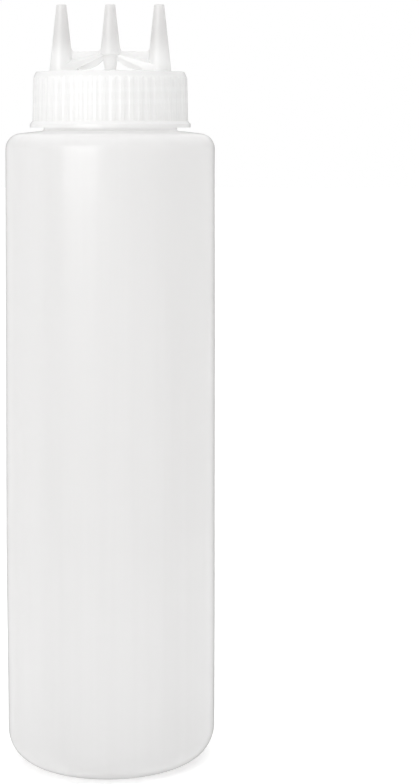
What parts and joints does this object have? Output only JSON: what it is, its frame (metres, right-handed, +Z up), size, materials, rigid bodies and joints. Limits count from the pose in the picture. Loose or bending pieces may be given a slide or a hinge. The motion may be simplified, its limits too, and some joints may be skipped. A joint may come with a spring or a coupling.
{
  "type": "squeeze bottle",
  "caption": "Tall translucent squeeze bottle for sauces, with a ribbed screw cap that carries tapered nozzles in a row.",
  "frame": {"origin": "middle of the foot that the bottle stands on", "axes": "+Z up along the bottle's axis, X along the row of nozzles"},
  "size_m": [0.0762, 0.0762, 0.2742],
  "materials": {
    "bottle_plastic": "satin, translucent natural polyethylene",
    "cap_plastic": "satin, translucent natural polyethylene"
  },
  "bodies": {
    "root": {"bottle": "bottle_plastic", "nozzle_cap": "cap_plastic"}
  },
  "joints": []
}
